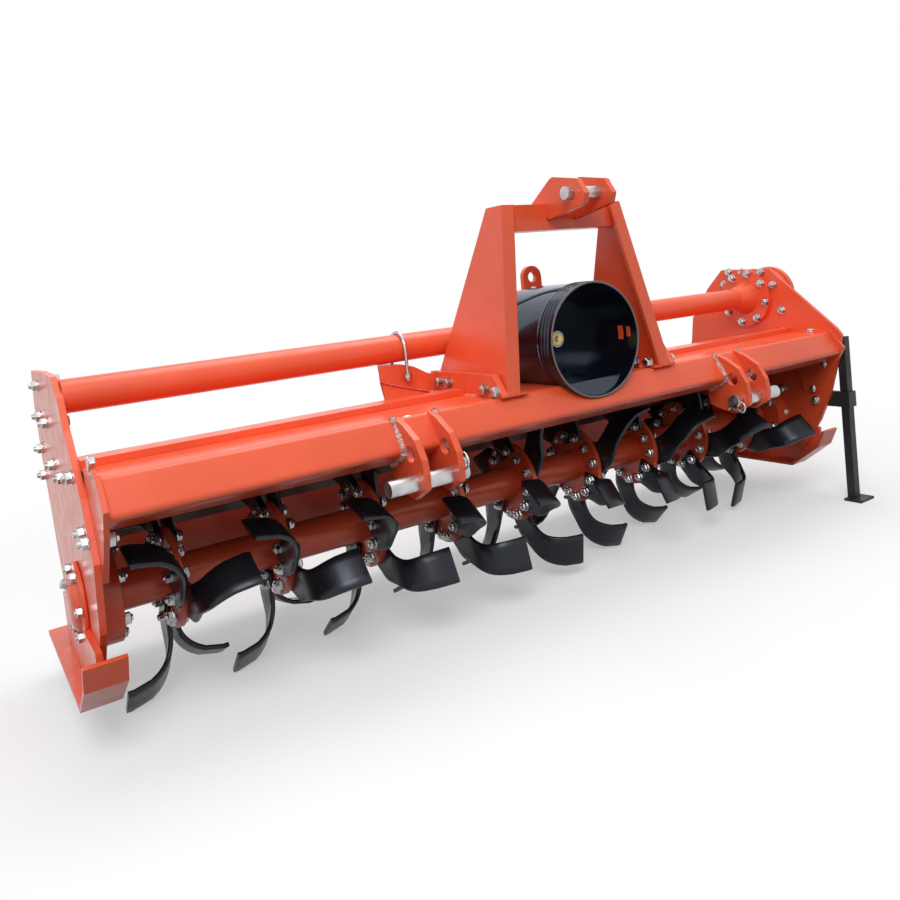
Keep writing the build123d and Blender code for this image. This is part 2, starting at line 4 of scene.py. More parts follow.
import bmesh
import bpy
import numpy as np
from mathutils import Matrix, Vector


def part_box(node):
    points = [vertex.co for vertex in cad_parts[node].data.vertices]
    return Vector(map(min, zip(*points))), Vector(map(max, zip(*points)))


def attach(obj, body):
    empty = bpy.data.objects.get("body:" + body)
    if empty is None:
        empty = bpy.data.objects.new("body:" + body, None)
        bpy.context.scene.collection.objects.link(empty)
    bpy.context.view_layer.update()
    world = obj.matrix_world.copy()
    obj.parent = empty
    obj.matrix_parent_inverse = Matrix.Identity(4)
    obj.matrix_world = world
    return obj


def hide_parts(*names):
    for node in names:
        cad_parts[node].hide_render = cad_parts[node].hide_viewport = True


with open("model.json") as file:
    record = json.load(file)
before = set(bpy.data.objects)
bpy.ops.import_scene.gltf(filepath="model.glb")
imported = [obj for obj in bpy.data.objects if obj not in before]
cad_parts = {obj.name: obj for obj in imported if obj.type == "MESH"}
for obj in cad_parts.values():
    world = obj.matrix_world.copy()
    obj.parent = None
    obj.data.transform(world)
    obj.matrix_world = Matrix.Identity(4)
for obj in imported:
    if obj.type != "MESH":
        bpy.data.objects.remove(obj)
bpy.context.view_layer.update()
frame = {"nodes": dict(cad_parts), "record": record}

bl_info = {
    "name": "Rotavator dressing",
    "version": (1, 0, 0),
    "blender": (4, 5, 0),
    "location": "3D View > Sidebar > Rotavator",
    "description": "Paint, fasteners, pins and trim for a rotavator, with its studio",
    "category": "Object",
}

MM = 0.001


# ---- where the frame stands ----
def low(node):
    """The node's lowest corner at rest."""
    return np.array(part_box(node)[0])


def high(node):
    """The node's highest corner at rest."""
    return np.array(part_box(node)[1])


def middle(node):
    """The middle of the node's box at rest."""
    return (low(node) + high(node)) / 2


PLATE_LEFT_OUT = low("side_plate_left")[0]
PLATE_LEFT_IN = high("side_plate_left")[0]
PLATE_RIGHT_IN = low("side_plate_right")[0]
MIDDLE_X = (PLATE_LEFT_IN + PLATE_RIGHT_IN) / 2
AXIS_Y, AXIS_Z = middle("bearing_left")[1:]
HITCH_X = middle("pto_guard")[0]
INPUT_Z = middle("input_shaft")[2]


def side_view(points):
    """Turns rearward and upward distances from the rotor axis, in millimetres, into metres in the frame."""
    table = np.array(points, float).reshape(-1, 2) * MM
    return table + np.array([AXIS_Y, AXIS_Z])


def spot(points):
    """Turns distances in millimetres to the right of the machine's middle, rearward and upward from the
    rotor axis into metres in the frame."""
    return np.array(points, float).reshape(-1, 3) * MM + np.array([MIDDLE_X, AXIS_Y, AXIS_Z])


# ---- tables: rearward and upward from the rotor axis, millimetres ----
RIGHT_PLATE_BOLTS = (
    (79, 405), (34, 402), (-30, 398), (97, 371), (-24, 365), (-66, 360), (-88, 290), (-90, 232),
    (-172, 229), (-207, 146), (-169, 78), (-172, 46), (-72, 73), (-73, 6),
)
LEFT_PLATE_NUTS = (
    (249, 338), (264, 280), (174, 275), (312, 214), (316, 162), (151, 203), (39, 196),
    (-81, 214), (-138, 140), (-167, 131),
)
LEFT_PLATE_HEADS = ((109, 353), (45, 287), (-178, 246))
BASE_BOLTS = ((-21, 250), (-56, 249), (-184, 243), (-221, 241))
BEAM_END_BOLT = (-865, -211, 140)
STAND_BOLTS = ((914, -243, 42), (914, -243, 61))
COVER_BOLTS = (56.0, np.arange(6) * 60.0)           # radius of the circle, turns of the bolts, degrees
HOUSING_BOLTS = (68.0, np.arange(6) * 60.0 + 25)
TUBE_FLANGE_BOLTS = (69.0, np.arange(8) * 45.0 + 12)
TUBE_FLANGE_THICKNESS = 12.0
# For each flange, how far its left-hand and its right-hand blades are turned, degrees.
BLADE_TURNS = (
    (5, 25), (7, 40), (11, 57), (25, 68), (28, 90), (42, 112), (52, 127), (75, 142), (100, 157),
)
FLANGE_PITCH = 182.5
FLANGE_FACE = 5.0
FIRST_FLANGE = -16.5 - 4 * FLANGE_PITCH
SHANK_THICKNESS = 8.0
FLANGE_BOLTS = 12
FLANGE_BOLT_RADIUS = 72.0
FIRST_BOLT_TURN = 8.0        # from the leading corner of the left-hand blade, degrees
SHANK_WIDTH = 61.0
BOLT_REACH = 9.0             # how far a bolt's washer reaches past a shank's edge
TUBE_MIDDLE = (22.0, 329.0)
TUBE_RADIUS = 28.2
GUARD_RADIUS = 115.0
GUARD_SHEET = 3.0
GUARD_FRONT = -252.0
GUARD_RIBS = (-243.5, -206.5)
RIB_PITCH = 9.25
RIB_HEIGHT = 1.5
HOOD_INSIDE = 226.2          # inner radius of the hood, and height of its flat deck's underside
DECK_TOP = 229.4
BEAM_SKIN_HALF = 864.6
# Section of the skin over the front beam, from the deck's edge round the front to the underside.
BEAM_SKIN = (
    (-219, 229.6), (-225.5, 229.3), (-228.6, 227.6), (-230.4, 224.6), (-254.6, 184.4), (-256.4, 180.2),
    (-256.6, 176.4), (-254.8, 173.2), (-251.0, 170.6), (-217, 152.6), (-212, 152.4), (-212, 158),
    (-246, 186), (-219, 224),
)
# Blade that hangs down from the rotor axis: leading and trailing edges from root to tip.
BLADE_LEAD = ((61, -48), (61, -78), (60.5, -106), (42, -142), (25, -182), (0, -216))
BLADE_TRAIL = ((0, -48), (0, -70), (0, -92), (-3, -112), (-14, -138), (-41.2, -163.2))
BLADE_BEND_TURN = 52.0
BLADE_BEND_OUTER = 78.0
BLADE_REACH = 86.0
BLADE_TIP = 216.0
# Loop round a blade's section: share of the width, then share of the thickness from the outer side.
BLADE_SECTION = (
    (0, 0.25), (0.03, 0), (0.25, 0), (0.5, 0), (0.75, 0), (0.97, 0), (1, 0.25),
    (1, 0.75), (0.97, 1), (0.75, 1), (0.5, 1), (0.25, 1), (0.03, 1), (0, 0.75),
)
# Line of a spring clip: along its straight leg and across, from the middle of the pin.
CLIP = (
    (-28, 0), (-14, 0), (0, 0), (14, 0), (24, 1), (32, -1), (37, -7), (36, -15), (29, -20), (21, -18.5),
    (11, -17.2), (0, -18.4), (-10, -16.2), (-18, -18), (-23, -24),
)
CLIP_SCALE = 0.70            # along the leg
CLIPS = ((406, -285.3, 128.5, 192), (87, -261, 600.3, 90))   # right, rearward, upward, turn in degrees
PIN_PEG = (-321, -285.3, 128.5)
PEG_PROFILE = ((0, -26), (4.2, -26), (4.6, -24), (4.6, 16), (8, 18), (8, 25), (5.5, 27.5), (0, 28))
PEG_RING = (-297.0, 149.0, 14.0)                             # rearward, upward, radius
CLAMP_X = -256.0
CLAMP_FOOT = 268.0
CLAMP_WIRE = 3.6
CHEEK_BOLT = (-380, -217, 213)
# Saddle under the cross tube: right of the middle, then the height of its top edge, the height of its fold,
# how far its foot stands ahead of the fold, and the width of its shelf.
SADDLE_TOP = ((-311, 300), (-262, 297), (-232, 288), (-205, 272), (-187, 266))
SADDLE_FOLD = ((-311, 265), (-259, 247), (-203, 232), (-187, 231))
SADDLE_LEAN = ((-311, 14), (-203, 1), (-187, 1))
SADDLE_SHELF = ((-311, 8), (-285, 60), (-235, 60), (-212, 8), (-187, 6))
SADDLE_WEB = 4.0
SADDLE_FOOT = 228.6
SADDLE_SHEET = 5.0
# Ends of the weld beads round the mast's brackets and the saddle.
BRACKET_WELDS = (
    ((-190, -158, 209), (-190, -188, 176)), ((-190, -60, 229), (-190, -150, 229)),
    ((-311, 2, 267), (-259, 2, 249)), ((-259, 2, 249), (-203, 1, 232)), ((-203, 1, 231), (-189, -30, 230)),
    ((211, -196, 231), (211, -214, 228)), ((211, -214, 228), (211, -232, 222)),
    ((276, -60, 229), (276, -214, 229)), ((-125, -60, 229), (-125, -214, 229)),
)
# Strap on the guard: share of its run, turn round the guard in degrees, distance rearward.
GUARD_STRAP = ((0, 138, -84), (0.25, 132, -114), (0.65, 118, -170), (1, 109, -240))
STRAP_HALF = 4.0
# Sight slots: first and last turn in degrees, front and rear.
SIGHT_SLOTS = ((-7, 8, -212, -197), (-4, 7, -233, -222))
# Domed cover of the left bearing: radius, height above its seat.
DOME = (
    (0, 0.3), (62, 0.3), (64, 1.5), (64, 6), (62.5, 7.5), (50, 8), (47.5, 9), (45, 13), (40, 17), (31, 20),
    (18, 21.5), (0, 21.9),
)
# Centre and face of the input shaft: distance rearward of its front, radius.
SHAFT_FACE = ((2, 14.8), (-0.2, 14.8), (-1.2, 13.5), (-1.2, 5.0), (-0.6, 3.2), (0.8, 1.8), (2, 0))

# ---- studio ----
LAMP_TARGET = (0, 0, 0.4)
# Name, place, power in watts, diameter of the disk.
LAMPS = (
    ("key_light", (-1.6, -2.2, 2.6), 52, 1.8),
    ("top_light", (0.4, 0.3, 3.0), 42, 2.4),
    ("side_light", (-3.0, 0.2, 1.4), 4, 1.6),
)
# The camera: right of the middle, rearward and upward of the rotor axis, millimetres.
EYE = (-1031.5, -1450.8, 446.8)
EYE_TURN = (86.503, 5.638, -35.109)      # pitch, roll and heading, degrees
EYE_LENS = 32.281
EYE_SHIFT = (-0.05002, -0.13332)


# ---- sizes and colours a user would change ----
class RotavatorPaint(bpy.types.PropertyGroup):
    red: bpy.props.FloatVectorProperty(
        name="Body red", description="Paint of the frame, hood and mast", subtype="COLOR",
        size=3, min=0, max=1, default=(0.86, 0.108, 0.036))
    black: bpy.props.FloatVectorProperty(
        name="Gloss black", description="Paint of the blades and the guard", subtype="COLOR",
        size=3, min=0, max=1, default=(0.007, 0.007, 0.009))
    stand: bpy.props.FloatVectorProperty(
        name="Stand black", description="Paint of the parking stand", subtype="COLOR",
        size=3, min=0, max=1, default=(0.018, 0.018, 0.020))
    zinc: bpy.props.FloatVectorProperty(
        name="Zinc", description="Plating of nuts and bolts", subtype="COLOR",
        size=3, min=0, max=1, default=(0.60, 0.60, 0.61))
    yellow_zinc: bpy.props.FloatVectorProperty(
        name="Yellow zinc", description="Plating of the gearbox plug", subtype="COLOR",
        size=3, min=0, max=1, default=(0.72, 0.55, 0.22))
    floor: bpy.props.FloatVectorProperty(
        name="Floor", description="Colour of the studio floor", subtype="COLOR",
        size=3, min=0, max=1, default=(0.90, 0.90, 0.90))


class RotavatorSizes(bpy.types.PropertyGroup):
    plate_bolt: bpy.props.FloatProperty(
        name="Plate bolt", description="Across the flats of the side plate bolts",
        default=0.017, min=0.008, max=0.05, unit="LENGTH")
    blade_bolt: bpy.props.FloatProperty(
        name="Blade bolt", description="Across the flats of the blade bolts",
        default=0.0165, min=0.008, max=0.05, unit="LENGTH")
    weld: bpy.props.FloatProperty(
        name="Weld bead", description="Radius of the weld beads",
        default=0.004, min=0.001, max=0.012, unit="LENGTH")
    clip_wire: bpy.props.FloatProperty(
        name="Clip wire", description="Radius of the spring clips' wire",
        default=0.0023, min=0.001, max=0.006, unit="LENGTH")


def paint():
    """The colours that are set in the panel."""
    return bpy.context.scene.rotavator_paint


def sizes():
    """The sizes that are set in the panel."""
    return bpy.context.scene.rotavator_sizes


# ---- materials ----
def new_material(name):
    """An empty material of that name, and its node tree."""
    material = bpy.data.materials.new(name)
    material.use_nodes = True
    tree = material.node_tree
    tree.nodes.clear()
    return material, tree


def add(tree, kind, **values):
    """A new node. Names with a capital or a digit set its inputs, and the others its own settings."""
    node = tree.nodes.new(kind)
    for key, value in values.items():
        if key[0].isupper() or key[0].isdigit():
            node.inputs[key.replace("_", " ")].default_value = value
        else:
            setattr(node, key, value)
    return node


def link(tree, value, socket):
    """Feeds a socket from another one, or sets it to a number or a colour."""
    if isinstance(value, bpy.types.NodeSocket):
        tree.links.new(value, socket)
    else:
        socket.default_value = value


def worked(tree, operation, first, second):
    """What a Math node makes of two sockets or numbers."""
    node = add(tree, "ShaderNodeMath", operation=operation)
    link(tree, first, node.inputs[0])
    link(tree, second, node.inputs[1])
    return node.outputs["Value"]


def blended(tree, share, first, second):
    """The colour that is a share of the way from the first colour to the second."""
    node = add(tree, "ShaderNodeMix", data_type="RGBA")
    link(tree, share, node.inputs[0])
    link(tree, first, node.inputs[6])
    link(tree, second, node.inputs[7])
    return node.outputs[2]


def noise(tree, coordinate, scale, **values):
    """Soft noise of the surface's own place."""
    node = add(tree, "ShaderNodeTexNoise", Scale=scale, **values)
    tree.links.new(coordinate.outputs["Object"], node.inputs["Vector"])
    return node.outputs["Fac"]


def ramp(tree, value, low_end, low_colour, high_end, high_colour):
    """A colour that runs from one to another while the value goes from the low end to the high end."""
    node = add(tree, "ShaderNodeValToRGB")
    stops = ((low_end, low_colour), (high_end, high_colour))
    for element, (place, colour) in zip(node.color_ramp.elements, stops):
        element.position = place
        element.color = tuple(colour) + (1,)
    tree.links.new(value, node.inputs["Fac"])
    return node.outputs["Color"]


def mottled(tree, coordinate, colour, darker, scale):
    """Colour that drifts between a tone and a darker one with soft noise."""
    drift = noise(tree, coordinate, scale, Detail=4.0, Roughness=0.55)
    return ramp(tree, drift, 0.35, [c * darker for c in colour], 0.65, colour)


def clouded(tree, value, roughness, least, most):
    """Roughness that drifts between two shares of its level."""
    node = add(tree, "ShaderNodeMapRange", From_Min=0.3, From_Max=0.7, To_Min=roughness * least,
               To_Max=roughness * most)
    tree.links.new(value, node.inputs["Value"])
    return node.outputs["Result"]


def bumped(tree, value, strength, distance, normal=None):
    """The surface's normal, tipped by a height."""
    node = add(tree, "ShaderNodeBump", Strength=strength, Distance=distance)
    tree.links.new(value, node.inputs["Height"])
    if normal:
        tree.links.new(normal, node.inputs["Normal"])
    return node.outputs["Normal"]


def finished(material, shader, tone, roughness, normal):
    """The material, once its colour, roughness and normal are on its shader and that is on its output."""
    tree = material.node_tree
    tree.links.new(tone, shader.inputs["Base Color"])
    if roughness:
        tree.links.new(roughness, shader.inputs["Roughness"])
    tree.links.new(normal, shader.inputs["Normal"])
    out = add(tree, "ShaderNodeOutputMaterial")
    tree.links.new(shader.outputs["BSDF"], out.inputs["Surface"])
    return material


def gloss_paint(name, colour, roughness, peel, edge, coat=0.22, tint=(1, 1, 1)):
    """Sprayed enamel: drifting tone, a fine orange peel, and edges softened by a shader bevel."""
    material, tree = new_material(name)
    coordinate = add(tree, "ShaderNodeTexCoord")
    # A tint other than white paints a coloured reflection into the specular and the coat.
    shader = add(tree, "ShaderNodeBsdfPrincipled", Specular_IOR_Level=0.45, Coat_Weight=coat,
                 Coat_Roughness=0.10, Coat_IOR=1.45, Specular_Tint=tint + (1,), Coat_Tint=tint + (1,))
    rough = clouded(tree, noise(tree, coordinate, 24.0, Detail=3.0), roughness, 0.8, 1.25)
    bevel = add(tree, "ShaderNodeBevel", samples=4, Radius=edge)
    waves = noise(tree, coordinate, 9.0, Detail=1.0)
    sheet = bumped(tree, waves, 0.35, 0.004, bevel.outputs["Normal"])
    skin = bumped(tree, noise(tree, coordinate, 160.0, Detail=2.0), peel, 0.0006, sheet)
    return finished(material, shader, mottled(tree, coordinate, colour, 0.90, 7.0), rough, skin)


def plated_metal(name, colour, roughness, scale, darker):
    """Plated steel: metal with a cloudy tone, cloudy roughness and a fine grain."""
    material, tree = new_material(name)
    coordinate = add(tree, "ShaderNodeTexCoord")
    shader = add(tree, "ShaderNodeBsdfPrincipled", Metallic=1.0)
    cloud = noise(tree, coordinate, scale * 2.5, Detail=3.0)
    return finished(material, shader, mottled(tree, coordinate, colour, darker, scale),
                    clouded(tree, cloud, roughness, 0.7, 1.4), bumped(tree, cloud, 0.15, 0.0005))


def hood_paint(name, colour):
    """The body enamel, with painted shade on the side that faces the rotor: darkened to a tenth everywhere
    nearer the rotor's axis than the hood's inner face, and ahead of the axis everywhere below the flat deck."""
    material = gloss_paint(name, colour, 0.34, 0.10, 0.0022)
    tree = material.node_tree
    shader = next(node for node in tree.nodes if node.type == "BSDF_PRINCIPLED")
    tone = shader.inputs["Base Color"].links[0].from_socket
    coordinate = add(tree, "ShaderNodeTexCoord")
    split = add(tree, "ShaderNodeSeparateXYZ")
    tree.links.new(coordinate.outputs["Object"], split.inputs["Vector"])
    rearward = worked(tree, "SUBTRACT", split.outputs["Y"], AXIS_Y)
    upward = worked(tree, "SUBTRACT", split.outputs["Z"], AXIS_Z)
    plane = add(tree, "ShaderNodeCombineXYZ")
    tree.links.new(rearward, plane.inputs["X"])
    tree.links.new(upward, plane.inputs["Y"])
    length = add(tree, "ShaderNodeVectorMath", operation="LENGTH")
    tree.links.new(plane.outputs["Vector"], length.inputs[0])
    inside = worked(tree, "LESS_THAN", length.outputs["Value"], HOOD_INSIDE * MM)
    below = worked(tree, "LESS_THAN", upward, HOOD_INSIDE * MM)
    ahead = worked(tree, "LESS_THAN", rearward, 0.0)
    shaded = worked(tree, "MAXIMUM", inside, worked(tree, "MULTIPLY", below, ahead))
    # Painted shade: the hood's inner side is mixed to a tenth of the body red, standing in for its deep
    # shadow.
    painted_shade_tone = blended(tree, shaded, tone, tuple(c * 0.10 for c in colour) + (1,))
    tree.links.new(painted_shade_tone, shader.inputs["Base Color"])
    return material


def seam_metal(name, colour, spatter):
    """A weld left bright under thin paint: speckles of pale metal in the body colour, on a rough skin."""
    material, tree = new_material(name)
    coordinate = add(tree, "ShaderNodeTexCoord")
    shader = add(tree, "ShaderNodeBsdfPrincipled", Roughness=0.42, Specular_IOR_Level=0.5)
    speck = noise(tree, coordinate, 260.0, Detail=3.0, Roughness=0.7)
    return finished(material, shader, ramp(tree, speck, 0.46, colour, 0.60, spatter), None,
                    bumped(tree, speck, 0.7, 0.0012))


def seen_directly(tree, path):
    """One for rays from the eye, from gloss or through glass, and nought for the rest."""
    seen = worked(tree, "MAXIMUM", path.outputs["Is Camera Ray"], path.outputs["Is Glossy Ray"])
    return worked(tree, "MAXIMUM", seen, path.outputs["Is Transmission Ray"])


def floor_material(colour):
    """Pale floor: matt near the machine, and plain white to the eye and to reflections further out."""
    material, tree = new_material("studio_floor")
    coordinate = add(tree, "ShaderNodeTexCoord")
    length = add(tree, "ShaderNodeVectorMath", operation="LENGTH")
    tree.links.new(coordinate.outputs["Object"], length.inputs[0])
    fade = add(tree, "ShaderNodeMapRange", From_Min=0.9, From_Max=2.3, To_Min=0.38,
               interpolation_type="SMOOTHSTEP")
    tree.links.new(length.outputs["Value"], fade.inputs["Value"])
    path = add(tree, "ShaderNodeLightPath")
    share = worked(tree, "MULTIPLY", seen_directly(tree, path), fade.outputs["Result"])
    matt = add(tree, "ShaderNodeBsdfDiffuse", Roughness=0.5)
    grain = mottled(tree, coordinate, colour, 0.985, 3.0)
    bounce = blended(tree, path.outputs["Is Diffuse Ray"], grain, (0.14, 0.12, 0.11, 1))
    tree.links.new(bounce, matt.inputs["Color"])
    white = add(tree, "ShaderNodeEmission", Strength=1.0)
    mix = add(tree, "ShaderNodeMixShader")
    tree.links.new(share, mix.inputs["Fac"])
    tree.links.new(matt.outputs["BSDF"], mix.inputs[1])
    tree.links.new(white.outputs["Emission"], mix.inputs[2])
    out = add(tree, "ShaderNodeOutputMaterial")
    tree.links.new(mix.outputs["Shader"], out.inputs["Surface"])
    return material


FINISHES = {}
# Painted reflection: the blades' specular and coat are tinted pale blue, standing in for the sky seen in
# their gloss.
BLADE_PAINTED_SKY_BLUE = (0.80, 0.86, 1.0)
# Painted reflection: the guard's specular and coat are tinted blue, standing in for the sky seen in its
# gloss.
GUARD_PAINTED_SKY_BLUE = (0.66, 0.80, 1.0)


def finish(name):
    """The material of that name, made the first time it is asked for."""
    if name not in FINISHES:
        colours = paint()
        makers = {
            "red_paint": lambda: gloss_paint(name, colours.red, 0.34, 0.10, 0.0022),
            "blade_black": lambda: gloss_paint(name, colours.black, 0.33, 0.16, 0.0030, 0.06, BLADE_PAINTED_SKY_BLUE),
            "guard_black": lambda: gloss_paint(name, colours.black, 0.20, 0.06, 0.0012, 0.9, GUARD_PAINTED_SKY_BLUE),
            "stand_black": lambda: gloss_paint(name, colours.stand, 0.50, 0.20, 0.0015, 0.0),
            "hood_red": lambda: hood_paint(name, colours.red),
            # Painted highlight: the guard's rolled edge is a dark warm grey, lighter than its black, for the
            # light the edge catches.
            "rim_painted_highlight_grey": lambda: gloss_paint(name, (0.17, 0.14, 0.135), 0.45, 0.10, 0.0008, 0.0),
            "weld_red": lambda: seam_metal(name, colours.red, (0.80, 0.42, 0.34)),
            "weld_bright": lambda: seam_metal(name, (0.52, 0.16, 0.11), (0.74, 0.66, 0.62)),
            "galvanised": lambda: plated_metal(name, colours.zinc, 0.34, 30.0, 0.75),
            "bright_zinc": lambda: plated_metal(name, colours.zinc, 0.26, 60.0, 0.62),
            "yellow_zinc": lambda: plated_metal(name, colours.yellow_zinc, 0.30, 60.0, 0.75),
        }
        FINISHES[name] = makers[name]()
    return FINISHES[name]


# ---- surfaces ----
def grid_faces(rows, columns):
    """Quads of a grid of points, rows by columns, each row closed to a loop."""
    i, j = np.meshgrid(np.arange(rows - 1), np.arange(columns), indexing="ij")
    ni, nj = i + 1, (j + 1) % columns
    quads = np.stack([i * columns + j, i * columns + nj, ni * columns + nj, ni * columns + j], -1)
    return quads.reshape(-1, 4)


def put(name, points, faces, material, body, slot=None, sharp=35.0):
    """A mesh object from arrays of points and quads, its doubles merged and its faces turned outwards."""
    mesh = bpy.data.meshes.new(name)
    mesh.from_pydata(np.asarray(points, float).tolist(), [], np.asarray(faces).tolist())
    work = bmesh.new()
    work.from_mesh(mesh)
    bmesh.ops.remove_doubles(work, verts=work.verts, dist=1e-6)
    bmesh.ops.dissolve_degenerate(work, edges=work.edges, dist=1e-7)
    bmesh.ops.recalc_face_normals(work, faces=work.faces)
    work.to_mesh(mesh)
    work.free()
    mesh.shade_smooth()
    mesh.set_sharp_from_angle(angle=math.radians(sharp))
    piece = bpy.data.objects.new(name, mesh)
    bpy.context.scene.collection.objects.link(piece)
    mesh.materials.append(finish(material))
    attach(piece, body)
    return piece


def put_bolts(name, parts, body="base", sharp=35.0):
    """Plated fasteners from several pairs of points and faces, as one piece."""
    return put(name, *joined(parts), "bright_zinc", body, "galvanised", sharp)


def closed_ends(grid):
    """The grid with each of its ends gathered to a middle point, so that the surface is closed."""
    count = grid.shape[1]
    first = grid[:1].mean(1, keepdims=True).repeat(count, 1)
    last = grid[-1:].mean(1, keepdims=True).repeat(count, 1)
    return np.concatenate([first, grid, last])


def bolt_circle(x, radius, turns, middle=(0.0, 0.0)):
    """Places on a circle across the rotor axis: rearward = radius x cosine, upward = radius x sine, about a
    middle given from that axis in millimetres."""
    turn = np.radians(turns)
    return at_x(x, np.column_stack([middle[0] + radius * np.cos(turn), middle[1] + radius * np.sin(turn)]))


def joined(parts):
    """One pair of arrays from several pairs of points and faces."""
    points, faces, start = [], [], 0
    for some_points, some_faces in parts:
        points.append(some_points)
        faces.append(some_faces + start)
        start += len(some_points)
    return np.concatenate(points), np.concatenate(faces)


def turned(profile, places, axis, hexed, sides=12, turn=0.0):
    """Bodies of revolution: each row of the profile is a radius and a height along the axis, and a share
    from round to six-sided. Radius at an angle = row radius x (1 + share x (hexagon's radius there - 1)).
    The same shape is set at every place."""
    profile = np.asarray(profile, float)
    share = np.asarray(hexed, float)[:, None]
    angle = np.arange(sides) * 2 * math.pi / sides + turn
    corner = np.mod(angle - turn, math.pi / 3) - math.pi / 6
    hexagon = 1 / np.cos(corner)
    radius = profile[:, :1] * (1 + share * (hexagon[None, :] - 1))
    axis = np.asarray(axis, float) / np.linalg.norm(axis)
    other = np.array([0, 0, 1.0]) if abs(axis[2]) < 0.9 else np.array([1.0, 0, 0])
    first = np.cross(other, axis)
    first /= np.linalg.norm(first)
    second = np.cross(axis, first)
    spoke = np.cos(angle)[None, :, None] * first + np.sin(angle)[None, :, None] * second
    ring = radius[..., None] * spoke
    shape = ring + profile[:, 1][:, None, None] * axis
    places = np.asarray(places, float).reshape(-1, 3)
    points = places[:, None, None, :] + shape[None]
    faces = grid_faces(len(profile), sides)
    count = shape.shape[0] * shape.shape[1]
    all_faces = (faces[None] + (np.arange(len(places)) * count)[:, None, None]).reshape(-1, 4)
    return points.reshape(-1, 3), all_faces


def nut_profile(flats, end):
    """Washer, six-sided nut or head with rounded corners, then a domed thread end."""
    half = flats / 2
    thread = half * 0.60
    rows = [
        (0.0, 0.0, 0), (half * 1.35, 0.0, 0), (half * 1.35, half * 0.22, 0),
        (half * 1.02, half * 0.22, 1), (half * 1.02, half * 1.05, 1), (half * 0.90, half * 1.25, 0.4),
    ]
    if end > 0:
        rows += [(thread, half * 1.25, 0), (thread, half * 1.25 + end * 0.85, 0),
                 (thread * 0.7, half * 1.25 + end, 0), (0.0, half * 1.25 + end, 0)]
    else:
        rows += [(half * 0.5, half * 1.30, 0), (0.0, half * 1.30, 0)]
    table = np.array(rows)
    return table[:, :2], table[:, 2]


def nuts(places, axis, flats, end=0.0, turn=0.0):
    """Nuts or bolt heads that stand on their places and point along the axis."""
    profile, hexed = nut_profile(flats, end)
    return turned(profile, places, axis, hexed, 12, turn)


def at_x(x, points):
    """Places in the plane at x, from rearward and upward distances from the rotor axis."""
    table = side_view(points)
    return np.column_stack([np.full(len(table), x), table])


def rod(path, radius, flat_normal, sides=10):
    """A round bar carried along a path that lies in one plane: each ring is the path point plus radius x
    (cos of the angle x the in-plane normal + sin x the plane's normal). The ends close to a point."""
    path = np.asarray(path, float)
    radius = np.broadcast_to(np.asarray(radius, float), len(path))
    path = np.concatenate([path[:1], path, path[-1:]])
    radius = np.concatenate([[0], radius, [0]])
    tangent = np.gradient(path, axis=0)
    tangent[:2], tangent[-2:] = tangent[2], tangent[-3]
    tangent /= np.linalg.norm(tangent, axis=1, keepdims=True) + 1e-12
    across = np.asarray(flat_normal, float) / np.linalg.norm(flat_normal)
    inward = np.cross(across[None], tangent)
    inward /= np.linalg.norm(inward, axis=1, keepdims=True) + 1e-12
    angle = np.arange(sides) * 2 * math.pi / sides
    ring = np.cos(angle)[None, :, None] * inward[:, None] + np.sin(angle)[None, :, None] * across
    points = path[:, None] + radius[:, None, None] * ring
    return points.reshape(-1, 3), grid_faces(len(path), sides)


def smooth_path(corners, count):
    """A smooth line through a few corners: Catmull-Rom weights worked out for all samples at once."""
    corner = np.asarray(corners, float)
    padded = np.concatenate([2 * corner[:1] - corner[1:2], corner, 2 * corner[-1:] - corner[-2:-1]])
    where = np.linspace(0, len(corner) - 1, count)
    index = np.minimum(where.astype(int), len(corner) - 2)
    t = (where - index)[:, None]
    a, b, c, d = (padded[index + k] for k in range(4))
    return 0.5 * (2 * b + (c - a) * t + (2 * a - 5 * b + 4 * c - d) * t**2 + (3 * b - a - 3 * c + d) * t**3)


def weld_bead(start, finish_point, radius, side):
    """A weld bead: a rod between two points whose radius ripples with a short, even pitch."""
    start, finish_point = np.asarray(start, float), np.asarray(finish_point, float)
    length = np.linalg.norm(finish_point - start)
    count = max(int(length / (radius * 0.45)), 8)
    t = np.linspace(0, 1, count)
    path = start + (finish_point - start) * t[:, None]
    ripple = radius * (1 + 0.16 * np.cos(t * length / (radius * 1.25) * 2 * math.pi))
    return rod(path, ripple, side, sides=8)


def ring_round_y(y_levels, radii, x, z, sides):
    """Rings round an axis along Y: each row is a level along Y and a radius, turned once round."""
    angle = np.arange(sides) * 2 * math.pi / sides
    circle = np.column_stack([np.cos(angle), np.zeros(sides), np.sin(angle)])
    points = np.asarray(radii, float)[:, None, None] * circle
    points = points + np.array([x, 0, z])
    points[..., 1] += np.asarray(y_levels, float)[:, None]
    return points.reshape(-1, 3), grid_faces(len(radii), sides)


# ---- operators ----
class ROTAVATOR_OT_paint_frame(bpy.types.Operator):
    """Give every part of the frame its finish"""
    bl_idname = "rotavator.paint_frame"
    bl_label = "Paint the frame"

    def execute(self, context):
        rows = {row["node"]: row["material_slot"] for row in frame["record"]["subparts"]}
        for node, piece in frame["nodes"].items():
            piece.data.materials.clear()
            # The hood takes hood_red: the body red with painted shade on its inner side.
            piece.data.materials.append(finish("hood_red" if node == "hood" else rows[node]))
        return {"FINISHED"}


